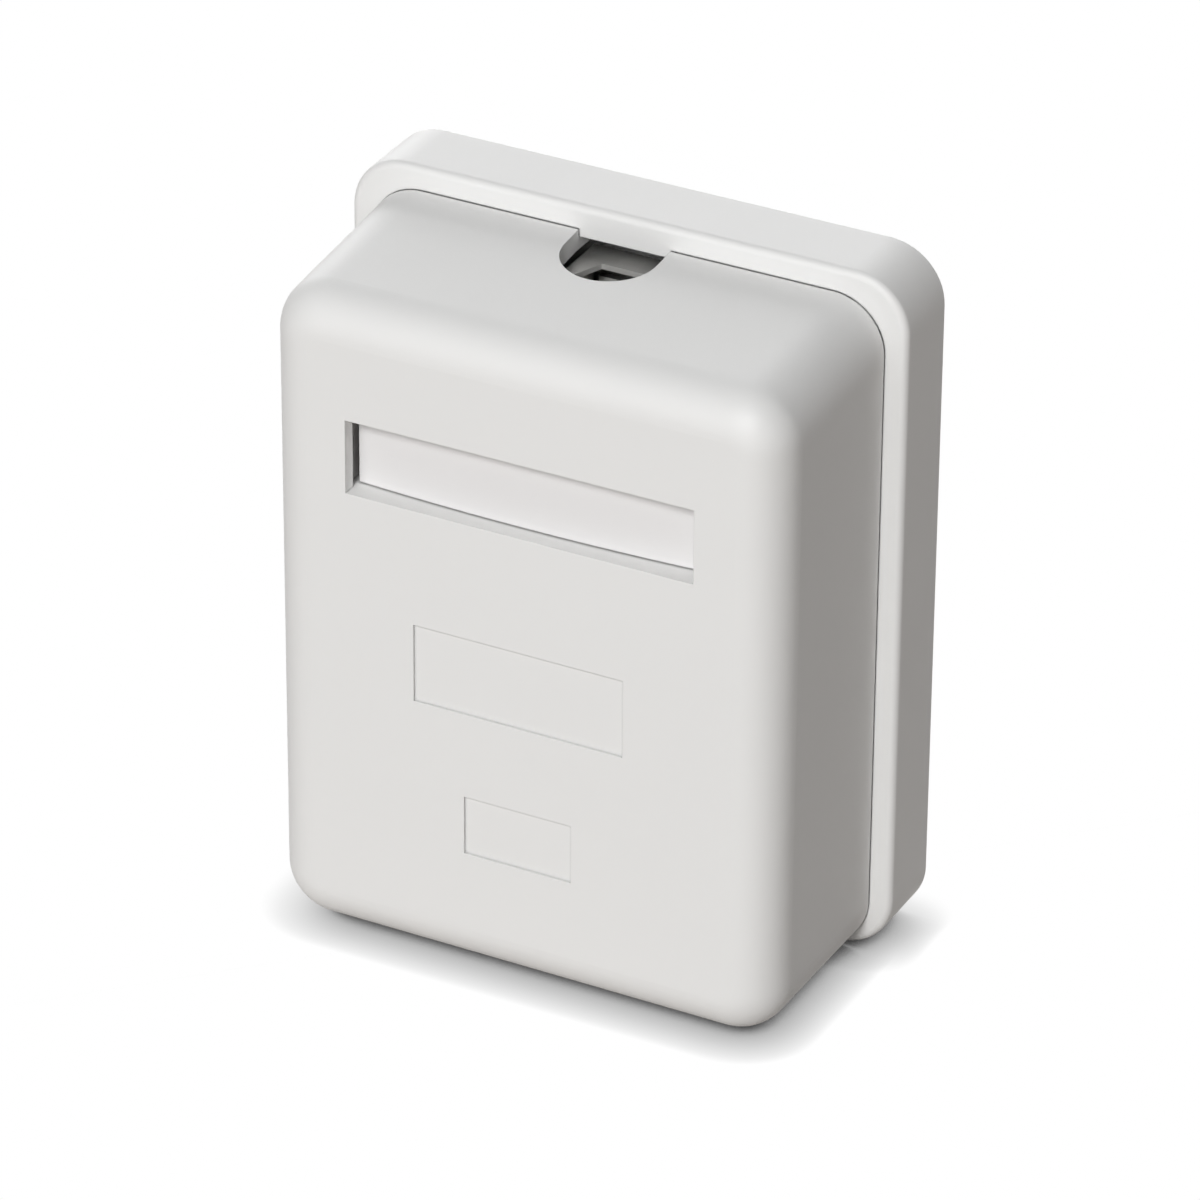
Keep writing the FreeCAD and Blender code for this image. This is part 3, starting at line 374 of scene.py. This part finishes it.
def turned_screw(node, head_high, shank_radius, pitch=0.7 * MM, around=72):
    """The profile turned about Y, less a cross in the dome and a wave along the shank."""
    low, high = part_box(node)
    head_radius = (high.x - low.x) / 2
    profile, dome, shank = screw_profile(head_radius, head_high, shank_radius,
                                         high.y - low.y - head_high)
    spin = np.linspace(0, 2 * math.pi, around, endpoint=False)
    radius = np.repeat(profile[:, :1], around, axis=1)
    depth = np.repeat(profile[:, 1:], around, axis=1)
    nearest = radius * np.minimum(abs(np.sin(spin)), abs(np.cos(spin)))
    arm = np.clip((CROSS_HALF * head_radius - nearest) / (CROSS_EASE * head_radius), 0, 1)
    reach = np.clip((CROSS_REACH * head_radius - radius) / (END_EASE * head_radius), 0, 1)
    depth[:dome] += (CROSS_DEEP * head_high * arm * reach)[:dome]
    wave = abs((depth / pitch - spin / (2 * math.pi)) % 1 * 2 - 1)
    radius[shank:-1] -= (THREAD_DEEP * pitch * wave)[shank:-1]
    points = np.stack((radius * np.sin(spin), depth, radius * np.cos(spin)), axis=-1)
    centre = Vector(((low.x + high.x) / 2, low.y + head_high, (low.z + high.z) / 2))
    piece = grid_piece(node + "_turned", points[None] + np.array(centre), screw_metal, node, 35)
    return piece


for name in list(nodes):
    if name.startswith("board_screw"):
        turned_screw(name, head_high=1.6 * MM, shank_radius=1.2 * MM)
    elif name.startswith("strap_screw"):
        turned_screw(name, head_high=1.0 * MM, shank_radius=1.0 * MM, pitch=0.5 * MM)

# %% [markdown]
# ## The studio
# The box stands on a sweep that looks white to the camera and in reflections. To the diffuse
# light it is a mid grey card, a little warm, so it throws some warm light up at the dark side.
# The shadow seen on it is painted: the white is darkened by how much of the sky is hidden within
# a few millimetres of each point, and it is not a shadow of the lamps. That sky is leaned to the
# back and the left, so the painted shadow lies a little more to the front and right.

# %% Backdrop seen by the eye
def seen_directly(owner):
    """1 for camera, mirror and glass rays, 0 for the light that only fills the scene."""
    path = add(owner, "LightPath").outputs
    total = path["Is Camera Ray"]
    for name in ("Is Glossy Ray", "Is Transmission Ray"):
        total = add(owner, "Math", {0: total, 1: path[name]}, operation="MAXIMUM").outputs[0]
    return total


# %% The sweep and its floor
FLOOR_SIZE, CARD_TONE = 6.0, "#B3ABA4"             # metres
SHADOW_REACH = 5.0 * MM
PAINTED_SHADOW_LEAN = {"X": -0.4, "Y": 0.25, "Z": 0.9}
SHADOW_LEVELS = (                                  # the share of sky seen, and the white left
    (0.13, 0.1), (0.165, 0.2), (0.19, 0.31), (0.26, 0.46), (0.36, 0.54),
    (0.62, 0.715), (0.85, 0.86), (0.96, 0.965),
)


def sweep_material(card_tone, reach):
    """White to the eye less a painted shadow where sky is hidden, and a grey card to the light."""
    material, output = new_material("white_sweep")
    lean = add(material, "CombineXYZ", **PAINTED_SHADOW_LEAN)
    # painted shadow: the white is darkened by the share of leaned sky hidden within the reach
    sky = add(material, "AmbientOcclusion", {"Normal": lean.outputs[0]},
              samples=24, Distance=reach)
    shade = add(material, "ValToRGB", {"Fac": sky.outputs["AO"]})
    for place, level in SHADOW_LEVELS:
        shade.color_ramp.elements.new(place).color = (level, level, level, 1)
    white = add(material, "Emission", {"Color": shade.outputs["Color"]}, Strength=1.0)
    card = add(material, "BsdfDiffuse", Color=colour(card_tone))
    both = add(material, "MixShader", {
        0: seen_directly(material), 1: card.outputs[0], 2: white.outputs[0]})
    return finish_with(material, output, both)


def make_floor(size, level, finish):
    """A square of floor at a level."""
    square = [(x * size / 2, y * size / 2, level) for x, y in ((-1, -1), (1, -1), (1, 1), (-1, 1))]
    mesh = bpy.data.meshes.new("floor")
    mesh.from_pydata(square, [], [(0, 1, 2, 3)])
    mesh.materials.append(finish)
    floor = bpy.data.objects.new("floor", mesh)
    bpy.context.scene.collection.objects.link(floor)
    return floor


make_floor(FLOOR_SIZE, cad_low.z, sweep_material(CARD_TONE, SHADOW_REACH))

# %% [markdown]
# ## Lamps
# Four lamps share the work. The key is a softbox in front, 38 degrees up and a little to the
# right. A wide panel in front and low down makes the face the brightest side without a shadow
# under the window's edge, and a wide panel overhead and behind lights the top without a glare on
# the round edge between the two. A fourth, low down behind and to the left, is there for whoever
# walks round the box, and lights neither the face nor the right side. That side is left to the
# edge of the key and to the light that the card sends up.

# %% Lights
def soft_sun(name, towards, strength, spread):
    """A sun whose light travels along a direction, with a disc that sets the shadows' softness."""
    data = bpy.data.lights.new(name, "SUN")
    data.energy, data.angle = strength, math.radians(spread)
    lamp = bpy.data.objects.new(name, data)
    lamp.rotation_mode = "QUATERNION"
    lamp.rotation_quaternion = Vector(towards).to_track_quat("-Z", "Y")
    bpy.context.scene.collection.objects.link(lamp)
    print("lamp:", name, strength)
    return lamp


def room_light(strength):
    """Even light from all round, and a white room for the rays that look at it."""
    world = bpy.data.worlds.new("studio")
    bpy.context.scene.world = world
    world.use_nodes = True
    level = add(world, "MapRange", {"Value": seen_directly(world)}, To_Min=strength)
    room = world.node_tree.nodes["Background"]
    room.inputs["Color"].default_value = (1, 1, 1, 1)
    world.node_tree.links.new(level.outputs["Result"], room.inputs["Strength"])


LAMPS = {                                          # way of travel, strength, spread in degrees
    "key": ((-0.12, 0.775, -0.62), 1.6, 14),
    "low_panel": ((0.0, 0.97, -0.24), 1.37, 50),
    "overhead_panel": ((0.1, -0.45, -0.88), 0.28, 50),
    "back_panel": ((0.4, -0.91, -0.06), 2.9, 60),
}
ROOM_LEVEL = 0.02

for name, (towards, strength, spread) in LAMPS.items():
    soft_sun(name, towards, strength, spread)
room_light(ROOM_LEVEL)

# %% [markdown]
# ## Camera
# A long lens from three quarters of a metre keeps the box's edges nearly parallel. The camera
# looks down on the front, the top and the right side, and its roll is under half a degree.

# %% Camera
AZIMUTH, ELEVATION, ROLL = 27.38, 29.81, 0.41      # degrees
DISTANCE, LENS, SENSOR = 762 * MM, 219.2, 36       # metres, then millimetres
TARGET = Vector((1.54, -0.7, 39.23)) * MM
CLIP_NEAR, CLIP_FAR = 0.01, 20                     # metres


def aim_camera():
    """The view axis from azimuth and elevation, then a small turn about it."""
    a, e, r = (math.radians(v) for v in (AZIMUTH, ELEVATION, ROLL))
    back = Vector((math.sin(a) * math.cos(e), -math.cos(a) * math.cos(e), math.sin(e)))
    right = Vector((0, 0, 1)).cross(back).normalized()
    up = back.cross(right)
    right, up = right * math.cos(r) + up * math.sin(r), up * math.cos(r) - right * math.sin(r)
    data = bpy.data.cameras.new("camera")
    data.sensor_width, data.lens = SENSOR, LENS
    data.clip_start, data.clip_end = CLIP_NEAR, CLIP_FAR
    camera = bpy.data.objects.new("camera", data)
    turn = Matrix((right, up, back)).transposed().to_4x4()
    camera.matrix_world = Matrix.Translation(TARGET + back * DISTANCE) @ turn
    bpy.context.scene.collection.objects.link(camera)
    bpy.context.scene.camera = camera
    return camera


camera = aim_camera()
bpy.context.scene.view_settings.view_transform = "Standard"
print("camera at:", [round(v, 3) for v in camera.matrix_world.translation])
